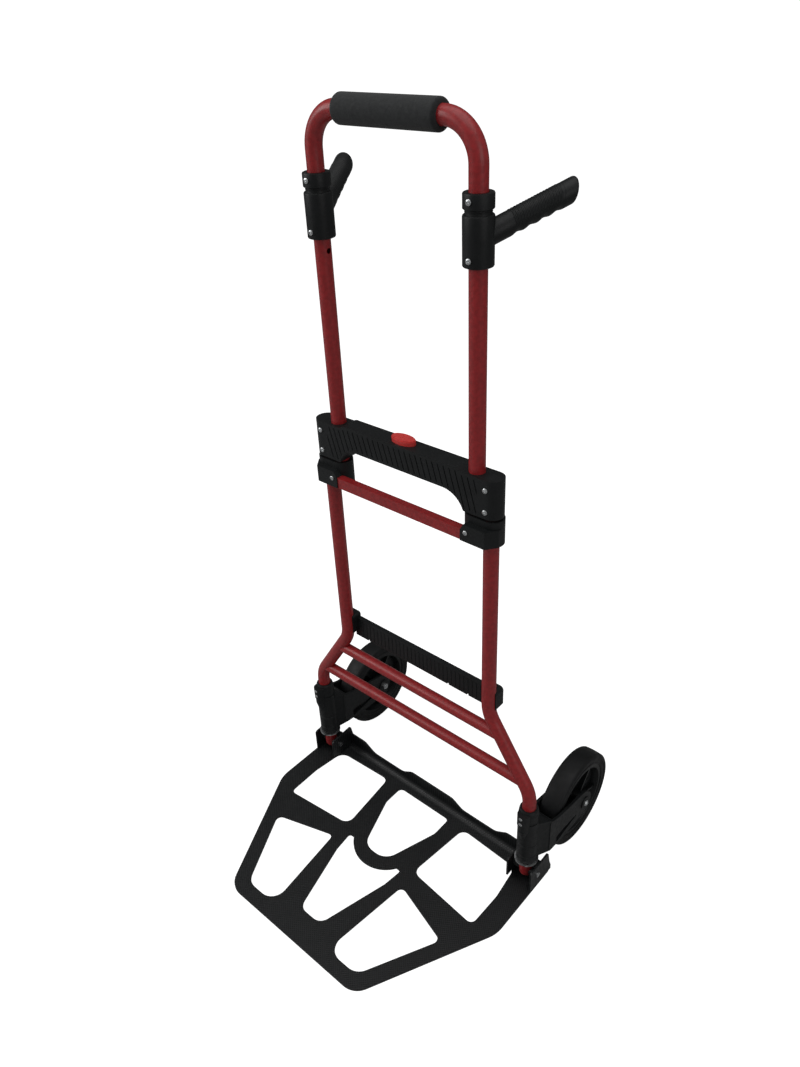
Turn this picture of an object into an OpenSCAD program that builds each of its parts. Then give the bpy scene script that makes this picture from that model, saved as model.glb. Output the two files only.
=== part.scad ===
/* [Tubes] */
// Outer diameter of the bent steel tubes
tube_d = 22; // [19:0.5:25]
// Wall thickness of the bent tubes
tube_wall = 1.6; // [1.2:0.1:2.5]
// Distance between the axes of the sliding upper tubes
upper_spacing = 246.6; // [240:0.2:250]
// Distance between the axes of the fixed lower tubes
lower_spacing = 294; // [293:0.2:296]
// Length of the slanted stretch of each lower tube
spread_len = 112.5; // [110:0.5:115]
// Height of the axis of the top grip bar
handle_z = 1144; // [1130:1:1160]
// Bend radius of the top handle, on the tube axis
handle_bend = 45; // [35:1:60]
// Height where the lower tubes begin to spread
flare_z = 350; // [345:0.5:354]
// Bend radius of the spread, on the tube axis
flare_bend = 62.5; // [60:0.5:65]
// Outer diameter of the two cross tubes
cross_d = 19; // [16:0.5:21]
// Height of the upper cross tube
cross_hi_z = 296.2; // [290:0.2:300]
// Height of the lower cross tube
cross_lo_z = 225.9; // [222:0.1:230]

/* [Wheels] */
// Tyre outer diameter
wheel_d = 170; // [160:1:172]
// Tyre width
wheel_w = 35; // [30:1:36]
// Distance of the wheel axle behind the feet
axle_y = 132; // [130:1:136]
// Sideways offset of the wheel from the foot axis
wheel_off = 3; // [2:0.5:4]

/* [Toe plate] */
// Height of the plate's hinge pins
hinge_z = 29; // [28:0.5:31]
// Thickness of the plate
plate_t = 4; // [3:0.5:4.5]
// Full width of the plate
plate_w = 500; // [496:1:504]
// Reach of the plate in front of the feet
plate_reach = 326; // [310:1:335]

/* [Latch] */
// Height of the latch bolts
latch_z = 729; // [728:0.5:730]
// Travel of the handle from open to closed
handle_travel = 250; // [240:1:250]
// Travel of the red release button
button_travel = 5; // [4:0.5:5]

/* [Hidden] */
$fn = 96;
tr = tube_d / 2;
ti = tr - tube_wall;
ux = upper_spacing / 2;
lx = lower_spacing / 2;
// the spread leans by this angle, whose sine and cosine are the two below
flare = atan2(0.5376, 0.8432);
flare_s = 0.5376;
flare_c = 0.8432;
fx = lx + 2 * flare_bend * (1 - flare_c) + spread_len * flare_s;
run = 0.05;          // radial clearance of a running fit
slip = 0.3;          // radial clearance of a plastic slide
wx = fx + wheel_off; // wheel centre plane
wr = wheel_d / 2;
low_z = flare_z - 2 * flare_bend * flare_s - spread_len * flare_c;
tube_top_z = 732;
tube_foot_z = 14;
grip_lo_z = 995;
pw = plate_w / 2;
tw = wheel_w / 2;
mid_y = (plate_reach - axle_y - wr) / 2;
house_lo_z = 682;
house_hi_z = 742;
red = "#8b2a2e";
black = "#1f2324";

// a rod in the XZ plane from p to q
module rod(p, q, r) {
    d = q - p;
    translate([p[0], 0, p[1]]) rotate([0, atan2(d[0], d[1]), 0]) cylinder(r = r, h = norm(d));
}
// an elbow in the XZ plane about the centre c, from angle a0 to a1
module elbow(c, bend, a0, a1, r) {
    translate([c[0], 0, c[1]]) rotate([90, 0, 0]) rotate([0, 0, a0])
        rotate_extrude(angle = a1 - a0) translate([bend, 0]) circle(r = r);
}
// a rod along X from x0 to x1
module rod_x(x0, x1, y, z, r) {
    translate([x0, y, z]) rotate([0, 90, 0]) cylinder(r = r, h = x1 - x0);
}
// a rod along Y from y0 to y1
module rod_y(y0, y1, x, z, r) {
    translate([x, y0, z]) rotate([-90, 0, 0]) cylinder(r = r, h = y1 - y0);
}
// puts the origin on the floor under the middle of the whole truck
module place() { translate([0, mid_y, 0]) children(); }
module left() { mirror([1, 0, 0]) children(); }
module both() { children(); mirror([1, 0, 0]) children(); }
// the outline in XZ carried along Y from y0 to y1
module slab_y(y0, y1) {
    translate([0, y1, 0]) rotate([90, 0, 0]) linear_extrude(height = y1 - y0) children();
}
// the outline in YZ carried along X from x0 to x1
module slab_x(x0, x1) {
    translate([x0, 0, 0]) rotate([90, 0, 90]) linear_extrude(height = x1 - x0) children();
}
// a polygon whose corners [x, y, radius] are rounded by arcs of n steps
function unit(v) = v / norm(v);
function wrap(a) = a > 180 ? a - 360 : (a < -180 ? a + 360 : a);
function soft_corner(p, c, q, r, n) =
    let (u = unit(p - c), v = unit(q - c), half = acos(u * v) / 2,
         m = c + unit(u + v) * r / sin(half), s = c + u * r / tan(half) - m,
         e = c + v * r / tan(half) - m, a0 = atan2(s[1], s[0]),
         sweep = wrap(atan2(e[1], e[0]) - a0))
    [for (k = [0:n]) m + r * [cos(a0 + sweep * k / n), sin(a0 + sweep * k / n)]];
function soft(pts, n = 8) = [for (i = [0:len(pts) - 1])
    let (a = pts[(i + len(pts) - 1) % len(pts)], b = pts[i], c = pts[(i + 1) % len(pts)])
    each (b[2] > 0 ? soft_corner([a[0], a[1]], [b[0], b[1]], [c[0], c[1]], b[2], n)
                   : [[b[0], b[1]]])];
// mirrors the right half of an outline to make the whole, front to back
function flip(pts) = [for (i = [len(pts) - 1:-1:0]) [-pts[i][0], pts[i][1], pts[i][2]]];
// a pan head screw along +Z: head above z = 0, shank below, with a cross recess
module pan_screw(head_r, head_h, shank_r, shank_l) {
    difference() {
        union() {
            rotate_extrude() polygon(concat([[0, 0], [head_r, 0]],
                [for (k = [0:6]) [head_r * cos(15 * k * 0.98), head_h * (0.35 + 0.65 * sin(15 * k))]],
                [[0, head_h]]));
            translate([0, 0, -shank_l]) cylinder(r = shank_r, h = shank_l + 0.1);
        }
        for (a = [0, 90]) rotate([0, 0, a])
            translate([-head_r * 0.5, -0.45, head_h - 0.9]) cube([head_r, 0.9, 2]);
    }
}
// a screw whose head looks towards -Y
module front_screw(x, y, z, head_r = 3.6, len = 9) {
    translate([x, y, z]) rotate([90, 0, 0]) pan_screw(head_r, 2.4, 2, len);
}

// the path of the lower tube on the right, at radius r; the bends are a hair
// thinner and the straights lap into them, so that the pieces fuse cleanly
module lower_path(r, top, foot) {
    lap = 0.6;
    rod([lx, flare_z - lap], [lx, top], r);
    elbow([lx + flare_bend, flare_z], flare_bend, 180, 180 + flare, r - 0.1);
    translate([lx + flare_bend * (1 - flare_c) - lap * flare_s, 0,
               flare_z - flare_bend * flare_s + lap * flare_c])
        rotate([0, 180 - flare, 0]) cylinder(r = r, h = spread_len + 2 * lap);
    elbow([fx - flare_bend, low_z], flare_bend, 0, flare, r - 0.1);
    rod([fx, foot], [fx, low_z + lap], r);
}
module lower_tube() {
    color(red) difference() {
        union() {
            lower_path(tr, tube_top_z, tube_foot_z + tr);
            // the foot is closed by a dome
            translate([fx, 0, tube_foot_z]) rotate_extrude() polygon(concat(
                [for (k = [0:6]) [tr * sin(15 * k), tr - tr * cos(15 * k)]], [[0, tr]]));
        }
        lower_path(ti, tube_top_z + 1, tube_foot_z + 6);
        rod_x(fx - 20, fx + 20, 0, hinge_z, 3 + run);
        for (z = [724, 692]) rod_y(-20, 0, lx, z, 2.05);
        rod_y(0, 20, lx, 364, 2.05);
        for (z = [170, 158]) rod_y(-20, 0, fx, z, 2.05);
    }
}
module cross_tube(z) {
    x = lx + flare_bend * (1 - flare_c) + (flare_z - flare_bend * flare_s - z) * flare_s / flare_c;
    color(red) difference() {
        rod_x(-x, x, 0, z, cross_d / 2);
        rod_x(-x - 1, x + 1, 0, z, cross_d / 2 - tube_wall);
        both() lower_path(tr, 400, 150);
    }
}

// the housing's outline seen from the front
function arch(n = 10) = [for (k = [0:n]) [78 + 36 * sin(70.5 * (n - k) / n),
                                          670 + 36 * cos(70.5 * (n - k) / n)]];
function whole(half) = concat(half, [for (i = [len(half) - 1:-1:0]) [-half[i][0], half[i][1]]]);
module house_outline() {
    polygon(whole(concat([[100, house_hi_z], [108, 738], [165, 738], [165, house_lo_z]],
        arch())));
}
// the slanted ribs' grooves on the front face, kept inside the outline
module rib_field() {
    half = concat([[98, 738], [108, 734], [134, 734], [134, 686], [116, 686]],
                  [for (p = arch()) p + [0, 4]]);
    intersection() {
        polygon(whole(half));
        for (i = [-15:15]) translate([i * 9.55 + 2, 710]) rotate(16)
            square([1.6, 90], center = true);
    }
}
module house_solid() {
    difference() {
        intersection() {
            slab_y(-16, 16) house_outline();
            translate([0, 0, 600]) linear_extrude(height = 200) union() {
                square([2 * 148.5, 31], center = true);
                for (s = [-1, 1]) translate([s * 148.5, 0]) circle(r = 15.5);
            }
        }
        // the middle is a little shallower than the ends
        translate([-104, 13, 600]) cube([208, 10, 200]);
        // latch space and its guide ribs
        difference() {
            translate([-104, -11, 709]) cube([208, 21, 30]);
            both() {
                translate([62, -12, 700]) cube([4, 24, 50]);
                translate([95, -12, 700]) cube([10, 24, 50]);
            }
        }
        both() translate([40, -5.3, latch_z - 6.3]) cube([58, 10.6, 12.6]);
        both() rod_x(90, ux, 0, latch_z, 3.7);
        // button opening
        translate([0, 0, 730]) linear_extrude(height = 30) oval(20.4, 10.9);
        both() translate([ux, 0, 600]) cylinder(r = tr + slip, h = 200);
        both() translate([lx, 0, 600]) cylinder(r = tr + run, h = tube_top_z - 600);
        both() for (z = [724, 692]) rod_y(-20, 0, lx, z, 2.05);
        slab_y(-16.5, -14.6) rib_field();
    }
}
module oval(a, b) { scale([a / b, 1]) circle(r = b); }
module housing_front() {
    color(black) intersection() {
        house_solid();
        translate([-200, -30, 600]) cube([400, 30, 200]);
    }
}
module housing_rear() {
    color(black) intersection() {
        house_solid();
        translate([-200, 0, 600]) cube([400, 30, 200]);
    }
}
module housing_screws() {
    color("silver") both() for (z = [724, 692]) front_screw(lx, -15.5, z, 3.8, 9);
}

// black brace behind the lower tubes, with plain ribs on its face
module rear_brace() {
    color(black) difference() {
        union() {
            translate([-140, 11.2, 329]) cube([280, 7.8, 38]);
            slab_y(10.6, 11.4) for (i = [-15:15]) translate([i * 8.2, 348])
                square([2.2, 30], center = true);
            both() slab_y(0, 19) polygon(soft([[133.5, 340, 4], [160, 340, 4],
                [160, 376, 6], [133.5, 376, 4]], 6));
        }
        both() lower_path(tr + run, 420, 150);
        for (x = [-112, 58, 97]) translate([x, 5, 326]) cube([3, 20, 6]);
        both() rod_y(5, 30, lx, 364, 2.05);
    }
}
module brace_screws() {
    color("silver") both() translate([lx, 19, 364]) rotate([-90, 0, 0])
        pan_screw(3.8, 2.2, 2, 12);
}

// fixed collar on each foot, with a lug that carries two rivets
module foot_collar() {
    color(black) difference() {
        union() {
            translate([fx, 0, 151.3]) rotate_extrude()
                polygon([[0, 0], [16, 0], [16, 17], [15, 24], [13.4, 26.7], [0, 26.7]]);
            translate([fx, -13.5, 151.3]) cylinder(r = 10.5, h = 23);
        }
        translate([fx, 0, 100]) cylinder(r = tr + run, h = 76);
        lower_path(tr + run, 400, 150);
        for (z = [170, 158]) {
            rod_y(-30, 0, fx, z, 2.05);
            rod_y(-30, -23.2, fx, z, 3.45);
        }
    }
}
module foot_rivets() {
    color("silver") both() for (z = [170, 158])
        translate([fx, -23.2, z]) rotate([90, 0, 0]) rotate_extrude() polygon(concat(
            [[0, -14], [2, -14], [2, 0], [3.3, 0]],
            [for (k = [0:6]) [3.3 * cos(15 * k), 0.3 + 0.9 * sin(15 * k)]]));
}
module foot_washers() {
    color("lightgray") both() translate([fx, 0, 55.4]) difference() {
        cylinder(r = 19.5, h = 1.7);
        translate([0, 0, -1]) cylinder(r = tr + run, h = 5);
    }
}
module hinge_bushes() {
    color(black) both() difference() {
        union() {
            rod_x(fx - 21.6, fx - 7, 0, hinge_z, 7);
            rod_x(fx + 7, fx + 19.6, 0, hinge_z, 7);
        }
        translate([fx, 0, 10]) cylinder(r = tr + run, h = 40);
        rod_x(fx - 40, fx + 40, 0, hinge_z, 3 + run);
    }
}

// top handle: one tube bent to a U, with latch holes on its inner sides
module handle_path(r, foot) {
    rod([ux, foot], [ux, handle_z - handle_bend], r);
    elbow([ux - handle_bend, handle_z - handle_bend], handle_bend, 0, 90, r);
    rod_x(-ux + handle_bend, ux - handle_bend, 0, handle_z, r);
    elbow([-ux + handle_bend, handle_z - handle_bend], handle_bend, 90, 180, r);
    rod([-ux, foot], [-ux, handle_z - handle_bend], r);
}
module handle_tube() {
    color(red) difference() {
        handle_path(tr, 646);
        handle_path(ti, 640);
        both() for (z = [latch_z, latch_z + handle_travel]) rod_x(ux - 14, ux, 0, z, 3.7);
        both() for (z = [1065, 1004]) rod_y(-20, 0, ux, z, 2.05);
    }
}
module foam_grip() {
    r = 17.4;
    e = 4;
    color(black) rotate([0, 90, 0]) translate([0, 0, 0]) rotate_extrude() union() {
        translate([0, 0]) polygon(concat([[tr + run - 0, -76]],
            [for (k = [0:6]) [r - e + e * sin(15 * k), -76 + e - e * cos(15 * k)]],
            [for (k = [0:6]) [r - e + e * cos(15 * k), 76 - e + e * sin(15 * k)]],
            [[tr + run, 76]]));
    }
}
// rear hand grip: a collar on the upper tube and a bar that points back and out
module hand_grip() {
    tip = [43.97, 83.93, 31.99];
    turn = atan2(tip[0], tip[1]);
    rise = atan2(tip[2], norm([tip[0], tip[1]]));
    color(black) difference() {
        union() {
            translate([ux, 0, grip_lo_z]) rotate_extrude() polygon([[0, 0], [17, 0], [18, 1],
                [18, 54], [17, 55.4], [15.2, 55.4], [15.2, 61], [17.7, 61], [17.7, 77],
                [16.7, 78], [0, 78]]);
            translate([ux, 0, 1023.7]) rotate([0, 0, -turn]) rotate([rise, 0, 0]) difference() {
                rod_y(0, 135, 0, 0, 13.6);
                translate([0, 121, 0]) rotate([-25, 0, 0]) translate([-40, 0, -60])
                    cube([80, 40, 120]);
            }
        }
        translate([ux, 0, 900]) cylinder(r = tr + run, h = 300);
        for (z = [1065, 1004]) rod_y(-30, 0, ux, z, 2.05);
    }
}
module grip_screws() {
    color("silver") both() {
        front_screw(ux, -17.7, 1065, 3.6, 9);
        front_screw(ux, -18, 1004, 3.6, 9);
    }
}

// sliding guide on the lower tube, fixed to the foot of the upper tube
module guide_block() {
    hex = [[113.5, 642, 0], [113.5, 659, 0], [119, 668, 0], [170, 668, 0], [170, 642, 0]];
    color(black) difference() {
        union() {
            translate([0, 0, 641]) linear_extrude(height = 38) union() {
                translate([ux, 0]) circle(r = 16.2);
                translate([lx + 2, 0]) circle(r = 16.2);
                translate([ux, -16.2]) square([lx + 2 - ux, 32.4]);
            }
            intersection() {
                slab_y(-26, 0) polygon([for (p = hex) [p[0], p[1]]]);
                translate([0, 0, 600]) linear_extrude(height = 100)
                    polygon([[113.5, 0], [113.5, -24.6], [153, -24.6], [165, -9], [165.3, 0]]);
            }
        }
        translate([ux, 0, 645]) cylinder(r = tr + run, h = 80);
        translate([lx, 0, 600]) cylinder(r = tr + slip, h = 120);
        translate([90, -23, 641.9]) cube([30, 11.2, 16.8]);
        rod_y(-30, -12, 122.6, 656.6, 2.05);
    }
}
module guide_bar() {
    color(red) difference() {
        translate([-119.6, -23, 642]) cube([239.2, 11.1, 16.6]);
        translate([-130, -21.5, 643.5]) cube([260, 8.1, 13.6]);
    }
}
module guide_screws() {
    color("silver") both() front_screw(122.6, -24.6, 656.6, 3.6, 9);
}

// release button with slanted cam legs that draw both latch bolts inwards
module release_button() {
    color("#b3282c") difference() {
        union() {
            translate([0, 0, 737]) linear_extrude(height = 10.5) oval(20, 10.5);
            translate([0, 0, 747.5]) linear_extrude(height = 1.5) oval(19, 9.5);
            translate([-27, -8, 736.2]) cube([54, 16, 2.4]);
            both() slab_y(-3, 3) polygon([[9.5, 737], [14.5, 737], [34.5, 717], [29.5, 717]]);
            translate([0, 0, 732]) cylinder(r = 3, h = 6);
        }
        translate([0, 0, 728]) cylinder(r = 1.5, h = 8);
    }
}
// a bolt: a bar with a slanted slot for the cam leg and a round pin at its end
module latch_bolt() {
    z0 = latch_z - 6;
    difference() {
        color("gray") union() {
            translate([11.2, -5, z0]) cube([80.8, 10, 735.6 - button_travel - z0]);
            translate([34, -5, z0]) cube([58, 10, 12]);
            rod_x(91, 110, 0, latch_z, 3.3);
            translate([110, 0, latch_z]) sphere(r = 1.9);
            rod_x(109.5, 111, 0, latch_z, 2.6);
        }
        slab_y(-3.3, 3.3) polygon([[10.1, 735.9], [16.1, 735.9], [30.1, 721.9], [24.1, 721.9]]);
    }
}
// return spring under the button: a round wire carried along a helix
module button_spring() {
    r = 5;
    n = 7;
    lo = 709.2;
    hi = 735.9;
    steps = 14;
    wire = 0.6;
    total = n * steps;
    function mid(i) = [r * cos(360 * i / steps), r * sin(360 * i / steps),
        lo + wire + (hi - lo - 2 * wire) * i / total];
    function ring(i) = [for (k = [0:5]) mid(i) + wire * (cos(60 * k)
        * [cos(360 * i / steps), sin(360 * i / steps), 0] + sin(60 * k) * [0, 0, 1])];
    pts = [for (i = [0:total]) each ring(i)];
    sides = [for (i = [0:total - 1]) for (k = [0:5])
        [i * 6 + k, i * 6 + (k + 1) % 6, (i + 1) * 6 + (k + 1) % 6, (i + 1) * 6 + k]];
    color("silver") polyhedron(points = pts, faces = concat(sides,
        [[for (k = [5:-1:0]) k]], [[for (k = [0:5]) total * 6 + k]]));
}

// folding toe plate: outline, six openings, curved rear flange and hinge ears
plate_pts = let (h = [[pw, 41, 8], [pw, -112, 60], [142, -plate_reach, 34]])
    concat(h, flip(h));
rear_open = [[89, 10, 14], [204, 4, 20], [212, -60, 60], [211, -126, 10], [76, -112, 16]];
mid_open = let (h = [[57, 10, 9], [57, -30, 30], [24.6, -125, 29]]) concat(h, flip(h));
front_open = [[80, -144, 9], [190, -178, 10], [125, -302, 27], [62, -302, 25]];
module nose() {
    difference() {
        polygon(soft(let (h = [[60, -124, 5], [56, -160, 30], [23, -279, 19]])
            concat(h, flip(h))));
        translate([0, -92]) circle(r = 59);
    }
}
module toe_plate() {
    flange = soft(let (h = [[202, 3, 0], [202, 33, 0], [166, 33, 16], [142, 18, 24],
        [70, 18, 22], [48, 32, 18]]) concat(h, flip(h)), 6);
    bend_out = [for (k = [0:8]) [19 + 14 * sin(11.25 * k), 14 - 14 * cos(11.25 * k)]];
    bend_in = [for (k = [8:-1:0]) [19 + 11 * sin(11.25 * k), 14 - 11 * cos(11.25 * k)]];
    sheet = concat([[12, 0]], bend_out, [[33, 40], [30, 40]], bend_in, [[12, plate_t]]);
    ear = [[-20, 2, 0], [-19.5, 48, 5], [31, 51, 4], [36, 26, 6], [41, 11, 2], [41, 2, 0]];
    color(black) difference() {
        union() {
            difference() {
                linear_extrude(height = plate_t) polygon(soft(plate_pts));
                translate([-202, 19, -1]) cube([404, 40, 10]);
            }
            intersection() {
                slab_x(-202, 202) polygon(sheet);
                slab_y(10, 40) polygon(concat([[202, -1]], flange, [[-202, -1]]));
            }
            both() {
                slab_x(202, 205) polygon(soft(ear, 6));
                slab_x(pw - 3, pw) polygon(soft(ear, 6));
            }
        }
        translate([0, 0, -1]) linear_extrude(height = 10) {
            polygon(soft(rear_open));
            mirror([1, 0]) polygon(soft(rear_open));
            polygon(soft(front_open));
            mirror([1, 0]) polygon(soft(front_open));
            polygon(soft(mid_open));
            nose();
        }
        both() rod_x(200, pw + 5, 0, hinge_z, 3 + run);
    }
}
module hinge_pins() {
    color("silver") both() {
        rod_x(201.9, pw + 0.1, 0, hinge_z, 3);
        rod_x(200.4, 202, 0, hinge_z, 4.4);
        rod_x(pw, pw + 1.8, 0, hinge_z, 4.4);
    }
}

// wheel fork on the right: sleeve that swivels on the foot, crown and two blades
module blade_outline() {
    difference() {
        polygon(soft([[24, 66, 6], [70, 60, 30], [axle_y + 6, 58, 22], [axle_y + 27, 86, 22],
            [axle_y + 2, 111, 22], [52, 126, 30], [24, 137, 4]], 8));
        polygon(soft([[45, 67.5, 3], [45, 84, 3], [106, 79, 1.5], [106, 76, 1.5]], 4));
    }
}
module wheel_fork() {
    color(black) difference() {
        union() {
            translate([fx, 0, 0]) rotate_extrude() polygon([[0, 57.4], [16, 57.4],
                [16.8, 58.4], [16.8, 73], [16.2, 73.4], [16.2, 74.6], [16.8, 75], [16.8, 99],
                [16.2, 99.4], [16.2, 100.6], [16.8, 101], [16.8, 150.8], [0, 150.8]]);
            // the front of the sleeve bulges out towards its top
            translate([fx, -13.4, 138]) cylinder(r = 9.4, h = 12.8);
            translate([fx, -13.4, 116]) cylinder(r1 = 4, r2 = 9.4, h = 22.05);
            // crown widens from the sleeve to the blades
            intersection() {
                translate([fx, 0, 60]) linear_extrude(height = 90)
                    polygon([[-16, 4], [wheel_off - 24, 27], [wheel_off - 24, 37],
                             [wheel_off + 24, 37], [wheel_off + 24, 27], [16, 4]]);
                slab_x(fx - 40, fx + 60) polygon(soft([[0, 66, 0], [40, 66, 0],
                    [40, 126, 0], [24, 140, 6], [0, 146, 0]]));
            }
            slab_x(wx - 24, wx - 19.5) blade_outline();
            slab_x(wx + 19.5, wx + 24) blade_outline();
            rod_x(wx - 26, wx - 18.4, axle_y, wr, 11);
            rod_x(wx + 18.4, wx + 26, axle_y, wr, 11);
        }
        translate([fx, 0, 50]) cylinder(r = tr + run, h = 120);
        // room for the tyre in front of the axle
        rod_x(wx - 19.5, wx + 19.5, axle_y, wr, wr + 6);
        rod_x(wx - 40, wx + 40, axle_y, wr, 4.05);
    }
    color(black) for (s = [-1, 1])
        translate([s > 0 ? wx + 18.4 : wx - 19.6, axle_y, wr]) rotate([0, 90, 0])
            difference() {
                cylinder(r = 11, h = 1.2);
                translate([0, 0, -1]) cylinder(r = 4.05, h = 4);
            }
}
module axle_bolt() {
    color("silver") {
        rod_x(wx - 33, wx + 26.2, axle_y, wr, 4);
        translate([wx + 26.05, axle_y, wr]) rotate([0, 90, 0]) cylinder(r = 5.4, h = 1.2);
        translate([wx + 27, axle_y, wr]) rotate([0, 90, 0]) cylinder(r1 = 5, r2 = 2.8, h = 2.4);
    }
}
module axle_nut() {
    color("silver") translate([wx - 31.4, axle_y, wr]) rotate([0, 90, 0]) difference() {
        cylinder(r = 6.4, h = 5.3, $fn = 6);
        translate([0, 0, -1]) cylinder(r = 4.02, h = 9);
    }
}
module axle_sleeve() {
    color("silver") difference() {
        rod_x(wx - 18.4, wx + 18.4, axle_y, wr, 6);
        rod_x(wx - 20, wx + 20, axle_y, wr, 4.05);
    }
}
module wheel_hub() {
    color(black) translate([wx, axle_y, wr]) rotate([0, 90, 0]) difference() {
        union() {
            rotate_extrude() polygon([[6 + run, -18], [13, -18], [14, -4], [55, -3], [60, -15.5],
                [66, -15.5], [66, 15.5], [60, 15.5], [55, 3], [14, 4], [13, 18], [6 + run, 18]]);
            for (a = [0:72:359]) rotate([0, 0, a]) for (s = [-1, 1])
                translate([12, -2, s > 0 ? 2 : -11]) cube([47, 4, 9]);
        }
        for (a = [0:72:359]) rotate([0, 0, a + 36]) for (s = [-1, 1])
            translate([36, 0, s > 0 ? 2 : -4]) cylinder(r = 9, h = 2);
    }
}
module tyre() {
    c = 7;
    color("#16181a") translate([wx, axle_y, wr]) rotate([0, 90, 0]) rotate_extrude()
        polygon(concat([[66.02, 1.2 - tw], [67.2, -tw]],
            [for (k = [0:6]) [wr - c + c * sin(15 * k), c - tw - c * cos(15 * k)]],
            [for (k = [0:6]) [wr - c + c * cos(15 * k), tw - c + c * sin(15 * k)]],
            [[67.2, tw], [66.02, tw - 1.2]]));
}

place() left() lower_tube();  // lower_tube_left
place() lower_tube();  // lower_tube_right
place() cross_tube(cross_hi_z);  // cross_tube_upper
place() cross_tube(cross_lo_z);  // cross_tube_lower
place() housing_front();
place() housing_rear();
place() housing_screws();
place() rear_brace();
place() brace_screws();
place() left() foot_collar();  // foot_collar_left
place() foot_collar();  // foot_collar_right
place() foot_rivets();
place() foot_washers();
place() hinge_bushes();
place() button_spring();
place() handle_tube();
place() translate([0, 0, handle_z]) foam_grip();
place() left() hand_grip();  // hand_grip_left
place() hand_grip();  // hand_grip_right
place() grip_screws();
place() left() guide_block();  // guide_block_left
place() guide_block();  // guide_block_right
place() guide_bar();
place() guide_screws();
place() release_button();
place() left() latch_bolt();  // latch_bolt_left
place() latch_bolt();  // latch_bolt_right
place() toe_plate();
place() hinge_pins();
place() left() wheel_fork();  // wheel_fork_left
place() wheel_fork();  // wheel_fork_right
place() left() axle_bolt();  // axle_bolt_left
place() axle_bolt();  // axle_bolt_right
place() left() axle_nut();  // axle_nut_left
place() axle_nut();  // axle_nut_right
place() left() axle_sleeve();  // axle_sleeve_left
place() axle_sleeve();  // axle_sleeve_right
place() left() wheel_hub();  // wheel_hub_left
place() wheel_hub();  // wheel_hub_right
place() left() tyre();  // tyre_left
place() tyre();  // tyre_right
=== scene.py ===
"""Looks of a folding hand truck: grips, foam, tyres and the finish of every part."""

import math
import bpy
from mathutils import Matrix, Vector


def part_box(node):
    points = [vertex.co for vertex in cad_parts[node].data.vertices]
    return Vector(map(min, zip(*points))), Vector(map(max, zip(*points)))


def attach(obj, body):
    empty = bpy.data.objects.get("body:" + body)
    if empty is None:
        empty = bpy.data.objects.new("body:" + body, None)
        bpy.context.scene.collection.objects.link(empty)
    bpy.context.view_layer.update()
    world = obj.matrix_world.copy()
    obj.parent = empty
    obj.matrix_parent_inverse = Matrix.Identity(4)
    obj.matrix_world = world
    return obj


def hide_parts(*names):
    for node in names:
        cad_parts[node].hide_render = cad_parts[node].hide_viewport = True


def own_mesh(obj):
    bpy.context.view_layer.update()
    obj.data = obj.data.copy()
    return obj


bl_info = {
    "name": "Folding Hand Truck",
    "version": (1, 0, 0),
    "blender": (4, 5, 0),
    "location": "3D View > Sidebar > Hand Truck",
    "description": "Shapes the grips, foam and tyres of a hand truck and finishes its parts",
    "category": "Object",
}

import bmesh
import bpy
import numpy as np
from bpy.props import FloatProperty, FloatVectorProperty, IntProperty, PointerProperty
from mathutils import Matrix, Vector

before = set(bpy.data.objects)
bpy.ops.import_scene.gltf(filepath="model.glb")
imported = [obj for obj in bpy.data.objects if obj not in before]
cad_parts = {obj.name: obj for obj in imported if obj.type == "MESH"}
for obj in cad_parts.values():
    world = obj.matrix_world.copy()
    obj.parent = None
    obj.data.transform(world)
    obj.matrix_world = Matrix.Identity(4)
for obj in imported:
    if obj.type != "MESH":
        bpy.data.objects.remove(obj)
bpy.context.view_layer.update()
MM = 0.001
TUBE_RADIUS = 11.0 * MM
TUBE_SEAT_RADIUS = 11.05 * MM
TURNED_SIDES = 96
TYRE_SIDES = 144
# the rear grip: where its bar starts above the collar's foot, how long the bar is on its
# axis, how far its end face leans, and the way the right bar points
GRIP_ROOT = 28.7 * MM
GRIP_LENGTH = 121.0 * MM
GRIP_END_LEAN = 25.0
GRIP_HEADING = (53.2, 101.6, 38.7)
# shares of the bar's length that the ribs on top and the finger waves below cover
RIB_SPAN = (0.34, 0.85)
WAVE_SPAN = (0.306, 0.90)
WAVE_COUNT = 4
WAVE_DEPTH = 1.6 * MM
SEAM_AT = 0.88

RED_STEEL = ("lower_tube_left", "lower_tube_right", "cross_tube_upper", "cross_tube_lower",
             "handle_tube", "guide_bar")
MOULDED = ("housing_front", "housing_rear", "rear_brace", "foot_collar_left",
           "foot_collar_right", "hinge_bushes", "guide_block_left", "guide_block_right",
           "wheel_fork_left", "wheel_fork_right")
FASTENERS = ("housing_screws", "brace_screws", "foot_rivets", "foot_washers", "grip_screws",
             "guide_screws", "hinge_pins", "axle_bolt_left", "axle_bolt_right",
             "axle_nut_left", "axle_nut_right", "axle_sleeve_left", "axle_sleeve_right",
             "latch_bolt_left", "latch_bolt_right", "button_spring")
SIDES = {"right": 1.0, "left": -1.0}


# ---------------------------------------------------------------- colours and nodes

def linear(code):
    """Linear red, green, blue and alpha of an sRGB hex colour: each channel's share c is
    c / 12.92 up to 0.04045, and above it ((c + 0.055) / 1.055) to the power 2.4."""
    c = np.array([int(code[i:i + 2], 16) for i in (0, 2, 4)]) / 255
    low = c / 12.92
    high = ((c + 0.055) / 1.055) ** 2.4
    return (*np.where(c <= 0.04045, low, high).tolist(), 1.0)


def add(tree, kind, settings=None, values=None, links=None):
    """Adds one node: settings are its attributes, values its unlinked sockets, and links
    the sockets that take another node's output."""
    node = tree.nodes.new(kind)
    for key, value in (settings or {}).items():
        setattr(node, key, value)
    for key, value in (values or {}).items():
        node.inputs[key].default_value = value
    for key, output in (links or {}).items():
        tree.links.new(output, node.inputs[key])
    return node


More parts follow.
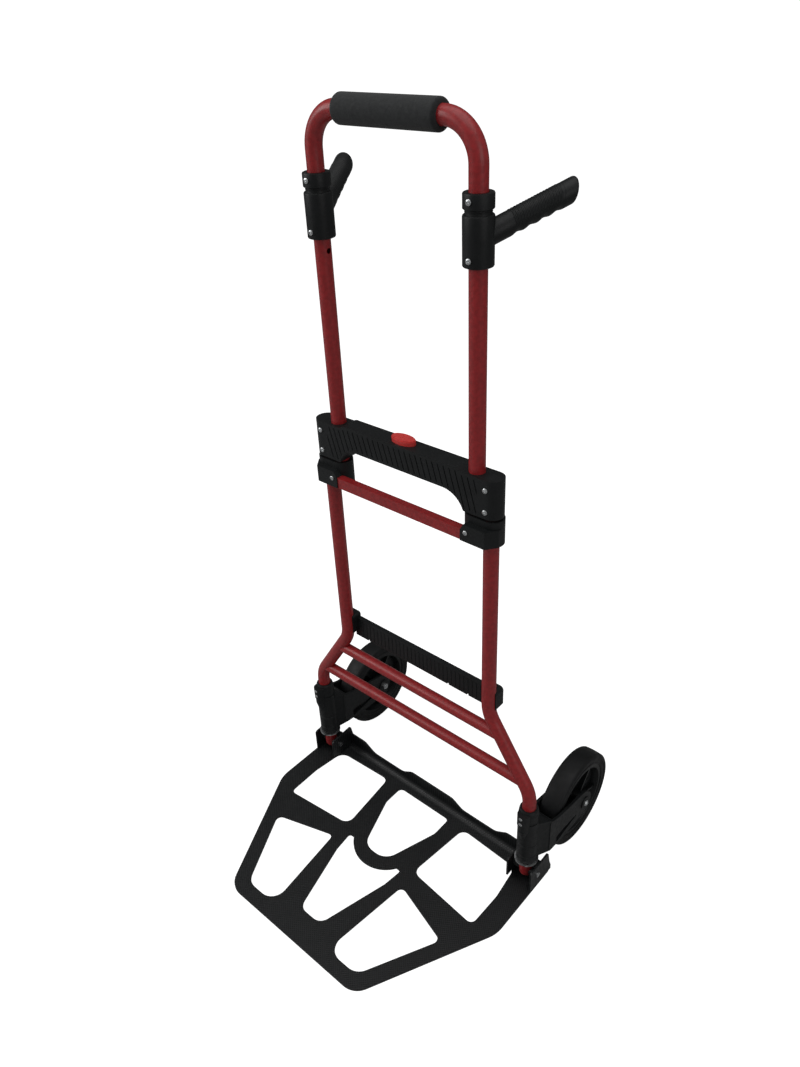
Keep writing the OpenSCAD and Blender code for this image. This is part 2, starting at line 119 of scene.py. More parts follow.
def surface(name, values):
    """A material with one Principled shader, whose even values sit on its own sockets."""
    material = bpy.data.materials.new(name)
    material.use_nodes = True
    tree = material.node_tree
    tree.nodes.clear()
    shader = add(tree, "ShaderNodeBsdfPrincipled", values=values)
    add(tree, "ShaderNodeOutputMaterial", links={"Surface": shader.outputs["BSDF"]})
    place = add(tree, "ShaderNodeTexCoord").outputs["Object"]
    return material, tree, shader, place


def per_metre(size_mm):
    """Noise scale whose features are about size_mm wide in object space."""
    return 1.0 / (size_mm * MM)


def mottle(tree, place, size_mm, dark, light, detail=2.0, low=0.35, high=0.65):
    """Colour that drifts between two shades over patches of size_mm."""
    noise = add(tree, "ShaderNodeTexNoise", values={"Scale": per_metre(size_mm), "Detail": detail},
                links={"Vector": place})
    ramp = add(tree, "ShaderNodeValToRGB", links={"Fac": noise.outputs["Fac"]})
    ramp.color_ramp.elements[0].position = low
    ramp.color_ramp.elements[1].position = high
    ramp.color_ramp.elements[0].color = dark
    ramp.color_ramp.elements[1].color = light
    return ramp.outputs["Color"]


def varied(tree, place, size_mm, low, high, detail=3.0):
    """A number that drifts between low and high over patches of size_mm."""
    noise = add(tree, "ShaderNodeTexNoise", values={"Scale": per_metre(size_mm), "Detail": detail},
                links={"Vector": place})
    return add(tree, "ShaderNodeMapRange",
               values={"From Min": 0.3, "From Max": 0.7, "To Min": low, "To Max": high},
               links={"Value": noise.outputs["Fac"]}).outputs["Result"]


def raised(tree, height, depth_mm, strength=1.0, over=None):
    """A bump of depth_mm from a height of 0 to 1, over an earlier bump if there is one."""
    links = {"Height": height}
    if over is not None:
        links["Normal"] = over
    return add(tree, "ShaderNodeBump", values={"Strength": strength, "Distance": depth_mm * MM},
               links=links).outputs["Normal"]


def put_on(shader, tree, **sockets):
    """Links pattern outputs to the shader; underscores in a name stand for spaces."""
    for key, output in sockets.items():
        tree.links.new(output, shader.inputs[key.replace("_", " ")])


# ---------------------------------------------------------------- materials

def red_powder_coat(look):
    """Polyester powder coat on steel tube, baked: glossy, with the faint orange peel that
    breaks highlights up, and a little pigment drift."""
    material, tree, shader, place = surface("red_powder_coated_steel", {
        "Metallic": 0.0, "Specular IOR Level": 0.4, "Coat Weight": 0.12,
        "Coat Roughness": 0.2})
    base = tuple(look.tube_red)
    deep = tuple(c * 0.78 for c in base[:3]) + (1.0,)
    put_on(shader, tree, Base_Color=mottle(tree, place, 5.0, deep, base, 5.0, 0.4, 0.6))
    put_on(shader, tree, Roughness=varied(tree, place, 9.0, 0.34, 0.46))
    # orange peel is about 1.5 mm wide; drawn at 2.2 mm so that it shows
    peel = add(tree, "ShaderNodeTexNoise", values={"Scale": per_metre(2.2), "Detail": 1.0},
               links={"Vector": place}).outputs["Fac"]
    put_on(shader, tree, Normal=raised(tree, peel, 0.10, 0.5))
    return material


def moulded_plastic(name, color, grain_mm, rough_low, rough_high):
    """Injection-moulded polypropylene from a spark-eroded mould: a fine leathery grain that
    turns highlights into a soft grey sheen, and faint flow clouds."""
    material, tree, shader, place = surface(name, {"Specular IOR Level": 0.27})
    base = tuple(color)
    pale = tuple(c * 1.35 for c in base[:3]) + (1.0,)
    put_on(shader, tree, Base_Color=mottle(tree, place, 22.0, base, pale, 3.0))
    put_on(shader, tree, Roughness=varied(tree, place, 6.0, rough_low, rough_high))
    # real grain is near 0.3 mm; grain_mm is as coarse as it needs to be to show
    cells = add(tree, "ShaderNodeTexVoronoi", settings={"feature": "SMOOTH_F1"},
                values={"Scale": per_metre(grain_mm), "Smoothness": 0.6},
                links={"Vector": place}).outputs["Distance"]
    put_on(shader, tree, Normal=raised(tree, cells, 0.12, 0.55))
    return material


def foam_rubber(look):
    """Closed-cell nitrile foam sleeve: dull, slightly dusty skin with small pores."""
    material, tree, shader, place = surface("nitrile_foam", {
        "Specular IOR Level": 0.35, "Sheen Weight": 0.08, "Sheen Roughness": 0.6})
    base = tuple(look.foam_black)
    pale = tuple(c * 1.5 for c in base[:3]) + (1.0,)
    put_on(shader, tree, Base_Color=mottle(tree, place, 3.0, base, pale, 5.0))
    put_on(shader, tree, Roughness=varied(tree, place, 4.0, 0.78, 0.92))
    # pores are about 0.6 mm; drawn at 1.1 mm
    pores = add(tree, "ShaderNodeTexVoronoi", settings={"feature": "F1"},
                values={"Scale": per_metre(1.1)}, links={"Vector": place}).outputs["Distance"]
    clouds = add(tree, "ShaderNodeTexNoise", values={"Scale": per_metre(9.0), "Detail": 2.0},
                 links={"Vector": place}).outputs["Fac"]
    first = raised(tree, clouds, 0.5, 0.4)
    put_on(shader, tree, Normal=raised(tree, pores, 0.25, 0.6, over=first))
    return material


def tyre_rubber(look):
    """Moulded tyre rubber: satin black that greys where the mould dulled it, with the very
    fine texture of a blasted mould."""
    material, tree, shader, place = surface("moulded_tyre_rubber", {"Specular IOR Level": 0.28})
    base = tuple(look.tyre_black)
    pale = tuple(c * 1.7 for c in base[:3]) + (1.0,)
    put_on(shader, tree, Base_Color=mottle(tree, place, 30.0, base, pale, 5.0))
    put_on(shader, tree, Roughness=varied(tree, place, 12.0, 0.48, 0.66))
    # blasted texture of 0.4 mm, drawn at 1.2 mm
    grit = add(tree, "ShaderNodeTexNoise", values={"Scale": per_metre(1.2), "Detail": 2.0},
               links={"Vector": place}).outputs["Fac"]
    put_on(shader, tree, Normal=raised(tree, grit, 0.10, 0.5))
    return material


def knurled_plate(look):
    """Pressed aluminium sheet under a black powder coat, rolled with a small diamond
    pattern. The raised diamonds carry a painted grey highlight and the grooves between them
    painted shade."""
    material, tree, shader, place = surface("black_diamond_pressed_sheet", {
        "Metallic": 0.0, "Specular IOR Level": 0.35, "Coat Weight": 0.06,
        "Coat Roughness": 0.2})
    # two crossing sets of ridges: each is a sine of the distance across it, and the diamond's
    # height is the product of the two, so its tops lie where both are high
    pitch = look.diamond_pitch * MM
    split = add(tree, "ShaderNodeSeparateXYZ", links={"Vector": place})
    waves = []
    for sign in (1.0, -1.0):
        across = add(tree, "ShaderNodeMath", settings={"operation": "MULTIPLY_ADD"},
                     values={1: sign}, links={0: split.outputs["X"], 2: split.outputs["Y"]})
        phase = add(tree, "ShaderNodeMath", settings={"operation": "MULTIPLY"},
                    values={1: math.pi / pitch}, links={0: across.outputs[0]})
        wave = add(tree, "ShaderNodeMath", settings={"operation": "SINE"},
                   links={0: phase.outputs[0]})
        waves.append(add(tree, "ShaderNodeMath", settings={"operation": "ABSOLUTE"},
                         links={0: wave.outputs[0]}).outputs[0])
    tops = add(tree, "ShaderNodeMath", settings={"operation": "MULTIPLY"},
               links={0: waves[0], 1: waves[1]}).outputs[0]
    # base colour follows the diamond height: painted highlight on the tops, painted shade in the
    # grooves
    ramp = add(tree, "ShaderNodeValToRGB", links={"Fac": tops})
    base = tuple(look.plate_black)
    ramp.color_ramp.elements[0].position = 0.25
    ramp.color_ramp.elements[1].position = 0.95
    ramp.color_ramp.elements[0].color = tuple(c * 0.6 for c in base[:3]) + (1.0,)
    ramp.color_ramp.elements[1].color = tuple(c * 2.3 for c in base[:3]) + (1.0,)
    put_on(shader, tree, Base_Color=ramp.outputs["Color"])
    put_on(shader, tree, Roughness=varied(tree, place, 18.0, 0.34, 0.5))
    put_on(shader, tree, Normal=raised(tree, tops, 0.45, 0.8))
    return material


def zinc_plated_steel(look):
    """Bright zinc on turned and stamped steel: pale, slightly blue, with fine tool marks."""
    material, tree, shader, place = surface("bright_zinc_plated_steel", {
        "Metallic": 1.0})
    base = tuple(look.zinc)
    dull = tuple(c * 0.72 for c in base[:3]) + (1.0,)
    put_on(shader, tree, Base_Color=mottle(tree, place, 2.5, dull, base, 4.0))
    put_on(shader, tree, Roughness=varied(tree, place, 1.5, 0.22, 0.42))
    marks = add(tree, "ShaderNodeTexNoise", values={"Scale": per_metre(0.7), "Detail": 3.0},
                links={"Vector": place}).outputs["Fac"]
    put_on(shader, tree, Normal=raised(tree, marks, 0.05, 0.4))
    return material


def gloss_red_plastic(look):
    """Polished ABS of the release button: bright, even red with soft scuffs."""
    material, tree, shader, place = surface("polished_red_abs", {
        "Specular IOR Level": 0.4, "Coat Weight": 0.08, "Coat Roughness": 0.15})
    base = tuple(look.button_red)
    deep = tuple(c * 0.9 for c in base[:3]) + (1.0,)
    put_on(shader, tree, Base_Color=mottle(tree, place, 8.0, deep, base, 2.0))
    put_on(shader, tree, Roughness=varied(tree, place, 3.0, 0.24, 0.4))
    skin = add(tree, "ShaderNodeTexNoise", values={"Scale": per_metre(1.6), "Detail": 1.0},
               links={"Vector": place}).outputs["Fac"]
    put_on(shader, tree, Normal=raised(tree, skin, 0.04, 0.4))
    return material


def finish_nodes(names, material):
    """Gives CAD parts a material in place of their plain one."""
    for name in names:
        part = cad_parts[name]
        if not part.material_slots:
            part.data.materials.append(material)
        for place in part.material_slots:
            place.material = material


# ---------------------------------------------------------------- surfaces

def ring_faces(rows, cols, wrap_rows=False):
    """Four-sided faces of a grid of rows by cols points whose rows each close on
    themselves, and whose last row joins the first if wrap_rows."""
    last = rows if wrap_rows else rows - 1
    i = np.arange(last)[:, None]
    j = np.arange(cols)[None, :]
    up, right = (i + 1) % rows, (j + 1) % cols
    quad = (i * cols + j, i * cols + right, up * cols + right, up * cols + j)
    return np.stack(quad, axis=-1).reshape(-1, 4)


def closed_piece(name, points, faces, material, body, crease=35.0):
    """Makes a mesh object from arrays, merges its poles, turns its faces outwards, keeps
    edges sharper than crease degrees crisp, and lets it ride on a body."""
    mesh = bpy.data.meshes.new(name)
    mesh.from_pydata(points.reshape(-1, 3).tolist(), [], faces.tolist())
    work = bmesh.new()
    work.from_mesh(mesh)
    bmesh.ops.remove_doubles(work, verts=work.verts, dist=1e-6)
    bmesh.ops.recalc_face_normals(work, faces=work.faces)
    work.to_mesh(mesh)
    work.free()
    mesh.polygons.foreach_set("use_smooth", np.ones(len(mesh.polygons), bool))
    mesh.set_sharp_from_angle(angle=math.radians(crease))
    mesh.materials.append(material)
    piece = bpy.data.objects.new(name, mesh)
    bpy.context.scene.collection.objects.link(piece)
    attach(piece, body)
    return piece


def arc(centre, radius, start, stop, count):
    """Points (distance from the axis, height) on an arc, angles in degrees."""
    a = np.radians(np.linspace(start, stop, count))
    return np.stack([centre[0] + radius * np.cos(a), centre[1] + radius * np.sin(a)], axis=-1)


def turned(profile, axis, origin, cols):
    """A profile of (distance from the axis, height along it) carried round an axis: each
    point goes to origin + height * axis + distance * (cos a * u + sin a * v)."""
    axis = np.array(axis, float)
    u = np.array([0.0, 1.0, 0.0]) if abs(axis[1]) < 0.9 else np.array([1.0, 0.0, 0.0])
    v = np.cross(axis, u)
    a = np.linspace(0.0, 2.0 * math.pi, cols, endpoint=False)[None, :, None]
    around = np.cos(a) * u + np.sin(a) * v
    return (np.array(origin) + profile[:, 1, None, None] * axis
            + profile[:, 0, None, None] * around)


def pulse(x, low, high, soft):
    """1 between low and high and 0 outside, with smooth shoulders soft wide."""
    rise = np.clip((x - low) / soft, 0.0, 1.0)
    fall = np.clip((high - x) / soft, 0.0, 1.0)
    return (rise * rise * (3 - 2 * rise)) * (fall * fall * (3 - 2 * fall))


def foam_profile(look, half, bore):
    """Section of the foam sleeve: a straight wall whose ends roll in over a quarter circle
    to a flat face round the tube."""
    e = look.foam_edge * MM
    r = look.foam_radius * MM
    return np.concatenate([
        [[bore, -half]], arc((r - e, e - half), e, -90, 0, 9),
        np.stack([np.full(30, r), np.linspace(e - half, half - e, 32)[1:-1]], axis=-1),
        arc((r - e, half - e), e, 0, 90, 9), [[bore, half]]])


def tyre_profile(low, high, outer, half):
    """Section of the solid tyre: bead, a flat sidewall with a moulded ring, a rounded
    shoulder and a tread that crowns by half a millimetre."""
    shoulder = 5.5 * MM
    across = np.linspace(-1.0, 1.0, 15)
    tread = np.stack([outer - 0.5 * MM * across ** 2, across * (half - shoulder)], axis=-1)
    side = np.array([[low, half - 1.6 * MM], [low + 1.2 * MM, half - 0.4 * MM],
                     [low + 4.0 * MM, half - 0.4 * MM], [low + 4.8 * MM, half - 1.2 * MM],
                     [low + 9.5 * MM, half - 1.0 * MM], [low + 10.3 * MM, half]])
    corner = arc((outer - 0.5 * MM - shoulder, half - shoulder), shoulder, 86, 4, 8)
    other = side * [1, -1]
    return np.concatenate([other, (corner * [1, -1]), tread, corner[::-1], side[::-1]])


def grip_surface(look, length, tip_slope):
    """Surface of the rear hand grip over (t, a): t runs along the bar and a round it, with
    a = 90 degrees on top. Its distance from the axis is the bar's radius, plus fine ribs on
    top, minus finger waves below. The end is a slanted face, so each line's length grows by
    tip_slope for each unit of height."""
    rows, cols, cap = look.grip_rows, TURNED_SIDES, 9
    t = np.linspace(0.0, 1.0, rows)[:, None]
    a = np.linspace(0.0, 2 * math.pi, cols, endpoint=False)[None, :]
    top = np.clip(np.sin(a) * 1.4 + 0.35, 0.0, 1.0)
    under = np.clip(-np.sin(a), 0.0, 1.0)
    r0 = look.grip_radius * MM
    low, high = RIB_SPAN
    ribbed = pulse(t, low - 0.005, high + 0.005, 0.01)
    ribs = 0.5 - 0.5 * np.cos(2 * math.pi * look.grip_ribs * (t - low) / (high - low))
    ribs = ribs * ribbed * pulse(top, 0.15, 9.0, 0.25)
    low, high = WAVE_SPAN
    waves = 0.5 - 0.5 * np.cos(2 * math.pi * WAVE_COUNT * (t - low) / (high - low))
    waves = waves * pulse(t, low, high, 0.01) * under
    seam = np.exp(-((t - SEAM_AT) / 0.006) ** 2)
    r = (r0 + look.rib_height * MM * (ribs - 0.5 * ribbed * top)
         - WAVE_DEPTH * waves - 0.35 * MM * seam * top + 0 * a)
    round_off = 3.0 * MM
    shrink = np.radians(np.linspace(0, 90, cap))[1:, None]
    reach = length - round_off + tip_slope * r[-1:] * np.sin(a)
    body = np.stack([r * np.cos(a), t * reach, r * np.sin(a)], axis=-1)
    edge_r = r[-1:] - round_off * (1 - np.cos(shrink))
    edge_y = reach + round_off * np.sin(shrink)
    edge = np.stack([edge_r * np.cos(a), edge_y, edge_r * np.sin(a)], axis=-1)
    inward = np.linspace(1.0, 0.0, 6)[1:, None]
    face_r = edge_r[-1:] * inward
    middle = edge_y[-1:].mean()
    face_y = middle + (edge_y[-1:] - middle) * inward - 0.6 * MM * (1 - inward ** 2)
    face = np.stack([face_r * np.cos(a), face_y + 0 * a, face_r * np.sin(a)], axis=-1)
    start = np.stack([0 * a, 0 * a, 0 * a], axis=-1)
    return np.concatenate([start, body, edge, face]), cols


def collar_profile():
    """Section of the grip's collar round the upper tube, as (distance, height) in metres:
    a long barrel, a neck and a clamp ring, open in the middle for the tube."""
    outline = np.array([[11.05, 0.0], [16.6, 0.0], [17.4, 0.35], [18.0, 1.3], [18.0, 27.0],
                        [18.0, 53.2], [17.6, 54.6], [16.6, 55.4], [15.3, 55.4], [15.2, 55.8],
                        [15.2, 58.0], [15.5, 58.2], [15.5, 59.0], [15.2, 59.2], [15.2, 61.0],
                        [17.0, 61.0], [17.7, 61.7], [17.7, 76.4], [17.2, 77.6], [16.2, 78.0],
                        [12.2, 78.0], [11.05, 77.0]])
    return outline * MM


# ---------------------------------------------------------------- settings

class HandTruckLook(bpy.types.PropertyGroup):
    """Sizes and colours of the hand truck's looks"""

    tube_red: FloatVectorProperty(
        name="Tube red", description="Powder coat of the steel tubes", subtype="COLOR",
        size=4, min=0.0, max=1.0, default=linear("982225"))
    button_red: FloatVectorProperty(
        name="Button red", description="Plastic of the release button", subtype="COLOR",
        size=4, min=0.0, max=1.0, default=linear("d2403d"))
    plastic_black: FloatVectorProperty(
        name="Plastic black", description="Moulded housing, forks and blocks", subtype="COLOR",
        size=4, min=0.0, max=1.0, default=linear("101213"))
    hub_black: FloatVectorProperty(
        name="Hub black", description="Moulded wheel hubs", subtype="COLOR",
        size=4, min=0.0, max=1.0, default=linear("0c0e0f"))
    grip_black: FloatVectorProperty(
        name="Grip black", description="Rear hand grips", subtype="COLOR",
        size=4, min=0.0, max=1.0, default=linear("0d0f10"))
    foam_black: FloatVectorProperty(
        name="Foam black", description="Foam sleeve of the top handle", subtype="COLOR",
        size=4, min=0.0, max=1.0, default=linear("141617"))
    tyre_black: FloatVectorProperty(
        name="Tyre black", description="Rubber of the tyres", subtype="COLOR",
        size=4, min=0.0, max=1.0, default=linear("0a0b0c"))
    plate_black: FloatVectorProperty(
        name="Plate black", description="Coating of the toe plate", subtype="COLOR",
        size=4, min=0.0, max=1.0, default=linear("0e1011"))
    zinc: FloatVectorProperty(
        name="Zinc", description="Plating of screws, rivets and washers", subtype="COLOR",
        size=4, min=0.0, max=1.0, default=linear("d2d5d6"))
    floor_grey: FloatVectorProperty(
        name="Floor", description="Grey the floor throws back as light", subtype="COLOR",
        size=4, min=0.0, max=1.0, default=linear("a8a8a8"))
    diamond_pitch: FloatProperty(
        name="Diamond pitch", description="Spacing of the plate's diamonds, in millimetres",
        default=4.6, min=1.0, max=12.0)
    foam_radius: FloatProperty(
        name="Foam radius", description="Outside radius of the foam, in millimetres",
        default=17.4, min=12.0, max=17.5)
    foam_edge: FloatProperty(
        name="Foam edge", description="Rounding of the foam's ends, in millimetres",
        default=4.2, min=0.5, max=6.0)
    grip_radius: FloatProperty(
        name="Grip radius", description="Radius of the rear grip's bar, in millimetres",
        default=13.3, min=11.0, max=13.6)
    grip_ribs: IntProperty(
        name="Grip ribs", description="Number of fine ribs on top of each grip",
        default=17, min=1, max=40)
    grip_rows: IntProperty(
        name="Grip rows", description="Points along each grip", default=300, min=60, max=600)
    rib_height: FloatProperty(
        name="Rib height", description="Height of the grip's ribs, in millimetres",
        default=0.8, min=0.0, max=2.0)
    azimuth: FloatProperty(
        name="Azimuth", description="Direction the camera stands in, turned from the front",
        subtype="ANGLE", default=math.radians(42.87))
    elevation: FloatProperty(
        name="Elevation", description="Downward tilt of the camera", subtype="ANGLE",
        default=math.radians(32.85))
    roll: FloatProperty(
        name="Roll", description="Turn of the camera about its own line of sight",
        subtype="ANGLE", default=math.radians(-3.04))
    lens: FloatProperty(
        name="Lens", description="Focal length for a 36 mm high sensor, in millimetres",
        default=28.68, min=10.0, max=200.0)
    camera_place: FloatVectorProperty(
        name="Camera place", description="Where the camera stands", subtype="TRANSLATION",
        unit="LENGTH", size=3, default=(0.6914, -0.7073, 1.2599))


# ---------------------------------------------------------------- operators

class HANDTRUCK_OT_tubes(bpy.types.Operator):
    """Coats the bent steel tubes, the cross tubes and the guide bar"""

    bl_idname = "handtruck.tubes"
    bl_label = "Red tubes"

    def execute(self, context):
        finish_nodes(RED_STEEL, red_powder_coat(context.scene.hand_truck))
        return {"FINISHED"}


class HANDTRUCK_OT_mouldings(bpy.types.Operator):
    """Finishes the housing, brace, collars, guide blocks and wheel forks"""

    bl_idname = "handtruck.mouldings"
    bl_label = "Black mouldings"

    def execute(self, context):
        look = context.scene.hand_truck
        material = moulded_plastic("grained_black_polypropylene", look.plastic_black,
                                   0.9, 0.42, 0.56)
        finish_nodes(MOULDED, material)
        return {"FINISHED"}


class HANDTRUCK_OT_toe_plate(bpy.types.Operator):
    """Finishes the folding toe plate"""

    bl_idname = "handtruck.toe_plate"
    bl_label = "Toe plate"

    def execute(self, context):
        finish_nodes(("toe_plate",), knurled_plate(context.scene.hand_truck))
        return {"FINISHED"}


class HANDTRUCK_OT_fasteners(bpy.types.Operator):
    """Plates the screws, rivets, washers, pins, bolts and the hidden latch steel"""

    bl_idname = "handtruck.fasteners"
    bl_label = "Fasteners"

    def execute(self, context):
        material = zinc_plated_steel(context.scene.hand_truck)
        finish_nodes(FASTENERS, material)
        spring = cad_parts["button_spring"]
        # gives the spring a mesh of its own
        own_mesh(spring)
        return {"FINISHED"}


class HANDTRUCK_OT_button(bpy.types.Operator):
    """Finishes the red release button"""

    bl_idname = "handtruck.button"
    bl_label = "Release button"

    def execute(self, context):
        finish_nodes(("release_button",), gloss_red_plastic(context.scene.hand_truck))
        return {"FINISHED"}


class HANDTRUCK_OT_hubs(bpy.types.Operator):
    """Finishes the wheel hubs"""

    bl_idname = "handtruck.hubs"
    bl_label = "Wheel hubs"

    def execute(self, context):
        look = context.scene.hand_truck
        material = moulded_plastic("smooth_black_hub_nylon", look.hub_black, 1.4, 0.34, 0.48)
        finish_nodes(("wheel_hub_left", "wheel_hub_right"), material)
        return {"FINISHED"}


class HANDTRUCK_OT_tyres(bpy.types.Operator):
    """Shapes the two solid tyres"""

    bl_idname = "handtruck.tyres"
    bl_label = "Tyres"

    def execute(self, context):
        material = tyre_rubber(context.scene.hand_truck)
        for side in SIDES:
            node = f"tyre_{side}"
            low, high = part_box(node)
            hub_low, hub_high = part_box(f"wheel_hub_{side}")
            centre = (low + high) / 2
            half = (high.x - low.x) / 2
            bead = (hub_high.z - hub_low.z) / 2
            profile = tyre_profile(bead, half, (high.z - low.z) / 2, half)
            points = turned(profile, (1, 0, 0), centre, TYRE_SIDES)
            faces = ring_faces(len(profile), TYRE_SIDES, wrap_rows=True)
            tyre = closed_piece(f"tyre_solid_{side}", points, faces, material,
                                f"wheel_{side}", 30.0)
            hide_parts(node)
        return {"FINISHED"}


class HANDTRUCK_OT_foam(bpy.types.Operator):
    """Shapes the foam sleeve of the top handle"""

    bl_idname = "handtruck.foam"
    bl_label = "Foam sleeve"

    def execute(self, context):
        look = context.scene.hand_truck
        low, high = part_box("foam_grip")
        profile = foam_profile(look, (high.x - low.x) / 2, TUBE_SEAT_RADIUS)
        points = turned(profile, (1, 0, 0), (low + high) / 2, TURNED_SIDES)
        faces = ring_faces(len(profile), TURNED_SIDES, wrap_rows=True)
        sleeve = closed_piece("foam_sleeve", points, faces, foam_rubber(look), "handle",
                              50.0)
        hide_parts("foam_grip")
        return {"FINISHED"}


class HANDTRUCK_OT_grips(bpy.types.Operator):
    """Shapes the two rear hand grips with their collars"""

    bl_idname = "handtruck.grips"
    bl_label = "Hand grips"

    def execute(self, context):
        look = context.scene.hand_truck
        material = moulded_plastic("soft_black_grip_plastic", look.grip_black, 1.0, 0.40, 0.52)
        tube_low, tube_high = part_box("handle_tube")
        tube_x = tube_high.x - TUBE_RADIUS
        tube_y = (tube_low.y + tube_high.y) / 2
        base_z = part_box("hand_grip_right")[0].z
        heading = np.array(GRIP_HEADING)
        heading = heading / np.linalg.norm(heading)
        level = np.array([heading[1], -heading[0], 0.0])
        level = level / np.linalg.norm(level)
        upward = np.cross(level, heading)
        shape, cols = grip_surface(look, GRIP_LENGTH,
                                   math.tan(math.radians(GRIP_END_LEAN)))
        root = np.array([tube_x, tube_y, base_z + GRIP_ROOT])
        bar = (root + shape[..., 0, None] * level + shape[..., 1, None] * heading
               + shape[..., 2, None] * upward)
        section = collar_profile()
        ring = turned(section, (0, 0, 1), (tube_x, tube_y, base_z), TURNED_SIDES)
        bar_faces = ring_faces(len(bar), cols)
        ring_sides = ring_faces(len(section), TURNED_SIDES, wrap_rows=True)
        for side, sign in SIDES.items():
            flip = np.array([sign, 1.0, 1.0])
            collar = closed_piece(f"grip_collar_{side}", ring * flip, ring_sides, material,
                                  "handle", 30.0)
            closed_piece(f"grip_bar_{side}", bar * flip, bar_faces, material, "handle",
                         40.0)
            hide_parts(f"hand_grip_{side}")
        return {"FINISHED"}


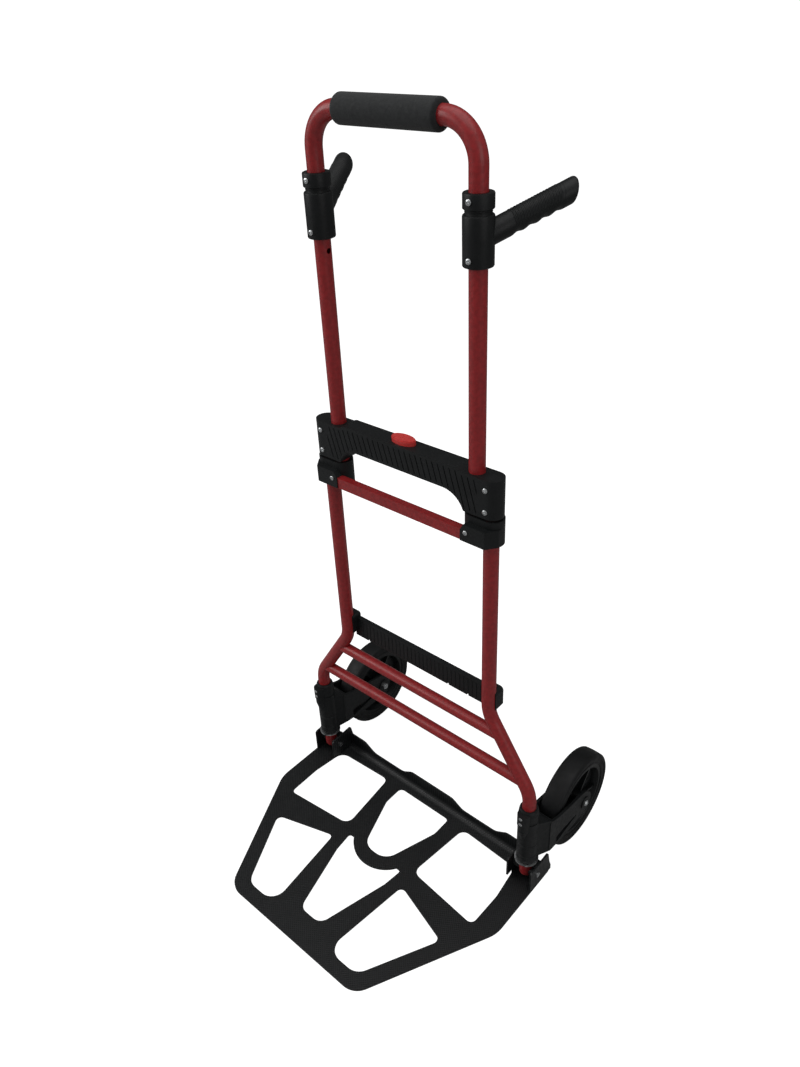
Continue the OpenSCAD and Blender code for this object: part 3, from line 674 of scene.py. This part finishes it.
class HANDTRUCK_OT_stage(bpy.types.Operator):
    """Sets the floor that looks white, the soft studio lights and the camera"""

    bl_idname = "handtruck.stage"
    bl_label = "Studio stage"

    def execute(self, context):
        look = context.scene.hand_truck
        scene = context.scene
        self.floor(scene, look)
        self.lights(scene)
        self.camera(scene, look)
        return {"FINISHED"}

    def floor(self, scene, look):
        """A level floor whose far side sweeps up in a quarter circle, so no horizon shows."""
        across = np.linspace(-9.0, 9.0, 3)[None, :, None]
        bend = arc((3.5, 2.5), 2.5, -90, 0, 24)
        track = np.concatenate([[[-9.0, 0.0]], bend, [[6.0, 9.0]]])
        track[:, 1] -= 0.0006
        view = np.array([-math.sin(look.azimuth), math.cos(look.azimuth)])
        side = np.array([view[1], -view[0]])
        flat = track[:, 0, None, None] * view + across * side
        points = np.concatenate([flat, np.broadcast_to(track[:, 1, None, None],
                                                       (*flat.shape[:2], 1))], axis=-1)
        rows, cols = points.shape[:2]
        i = (np.arange(rows - 1)[:, None] * cols + np.arange(cols - 1)[None, :]).ravel()
        faces = np.stack([i, i + 1, i + cols + 1, i + cols], axis=-1)
        mesh = bpy.data.meshes.new("studio_floor")
        mesh.from_pydata(points.reshape(-1, 3).tolist(), [], faces.tolist())
        mesh.polygons.foreach_set("use_smooth", np.ones(len(mesh.polygons), bool))
        material, tree, shader, _ = surface("matt_white_floor", {
            "Roughness": 0.9, "Specular IOR Level": 0.1, "Emission Color": (1.0, 1.0, 1.0, 1.0)})
        # the floor glows for the camera alone, so it looks white and throws little light up
        seen = add(tree, "ShaderNodeLightPath").outputs["Is Camera Ray"]
        put_on(shader, tree, Emission_Strength=add(
            tree, "ShaderNodeMath", settings={"operation": "MULTIPLY"}, values={1: 0.95},
            links={0: seen}).outputs[0])
        shader.inputs["Base Color"].default_value = tuple(look.floor_grey)
        mesh.materials.append(material)
        floor = bpy.data.objects.new("studio_floor", mesh)
        scene.collection.objects.link(floor)

    def lights(self, scene):
        """White surroundings and three large soft boxes: above, front left and right."""
        world = bpy.data.worlds.new("white_surroundings")
        world.use_nodes = True
        world.node_tree.nodes["Background"].inputs["Color"].default_value = (1, 1, 1, 1)
        # the surroundings look white to the camera and light the truck at a quarter of that
        seen = add(world.node_tree, "ShaderNodeLightPath").outputs["Is Camera Ray"]
        strength = add(world.node_tree, "ShaderNodeMath", settings={"operation": "MULTIPLY_ADD"},
                       values={1: 0.75, 2: 0.25}, links={0: seen}).outputs[0]
        world.node_tree.links.new(
            strength, world.node_tree.nodes["Background"].inputs["Strength"])
        scene.world = world
        scene.view_settings.view_transform = "Standard"
        boxes = (("overhead_box", (0.2, -0.2, 3.4), (0.0, 0.0, 0.4), 3.0, 40.0),
                 ("left_box", (-2.6, -2.0, 2.2), (0.0, 0.0, 0.5), 2.2, 54.0),
                 ("right_box", (2.8, -0.6, 1.6), (0.0, 0.0, 0.5), 1.8, 13.0))
        for name, place, target, size, power in boxes:
            lamp = bpy.data.lights.new(name, "AREA")
            lamp.shape = "SQUARE"
            lamp.size = size
            lamp.energy = power
            box = bpy.data.objects.new(name, lamp)
            aim = (Vector(target) - Vector(place)).to_track_quat("-Z", "Y")
            box.matrix_world = Matrix.Translation(place) @ aim.to_matrix().to_4x4()
            scene.collection.objects.link(box)

    def camera(self, scene, look):
        """Stands the camera at its place, looking back along its azimuth and elevation."""
        az, el, roll = look.azimuth, look.elevation, look.roll
        back = Vector((math.sin(az) * math.cos(el), -math.cos(az) * math.cos(el),
                       math.sin(el)))
        right = Vector((math.cos(az), math.sin(az), 0.0))
        up = back.cross(right)
        side = right * math.cos(roll) + up * math.sin(roll)
        top = up * math.cos(roll) - right * math.sin(roll)
        lens = bpy.data.cameras.new("studio_camera")
        lens.sensor_fit = "VERTICAL"
        lens.sensor_height = 36.0
        lens.lens = look.lens
        camera = bpy.data.objects.new("studio_camera", lens)
        turn = Matrix((side, top, back)).transposed().to_4x4()
        camera.matrix_world = Matrix.Translation(look.camera_place) @ turn
        scene.collection.objects.link(camera)
        scene.camera = camera


class HANDTRUCK_PT_panel(bpy.types.Panel):
    """Lists the hand truck's pieces and settings"""

    bl_idname = "HANDTRUCK_PT_panel"
    bl_label = "Hand Truck"
    bl_space_type = "VIEW_3D"
    bl_region_type = "UI"
    bl_category = "Hand Truck"

    def draw(self, context):
        column = self.layout.column()
        for operator in OPERATORS:
            column.operator(operator.bl_idname)
        for name in HandTruckLook.__annotations__:
            column.prop(context.scene.hand_truck, name)


OPERATORS = (HANDTRUCK_OT_stage, HANDTRUCK_OT_tubes, HANDTRUCK_OT_mouldings,
             HANDTRUCK_OT_toe_plate, HANDTRUCK_OT_fasteners, HANDTRUCK_OT_button,
             HANDTRUCK_OT_hubs, HANDTRUCK_OT_tyres, HANDTRUCK_OT_foam, HANDTRUCK_OT_grips)
CLASSES = (HandTruckLook, *OPERATORS, HANDTRUCK_PT_panel)


def register():
    for cls in CLASSES:
        bpy.utils.register_class(cls)
    bpy.types.Scene.hand_truck = PointerProperty(type=HandTruckLook)


def unregister():
    del bpy.types.Scene.hand_truck
    for cls in reversed(CLASSES):
        bpy.utils.unregister_class(cls)


def main():
    """Builds everything in order: stage first, then the parts from the floor up."""
    register()
    bpy.ops.handtruck.stage()
    bpy.ops.handtruck.tubes()
    bpy.ops.handtruck.mouldings()
    bpy.ops.handtruck.toe_plate()
    bpy.ops.handtruck.fasteners()
    bpy.ops.handtruck.button()
    bpy.ops.handtruck.hubs()
    bpy.ops.handtruck.tyres()
    bpy.ops.handtruck.foam()
    bpy.ops.handtruck.grips()


if __name__ == "__main__":
    main()
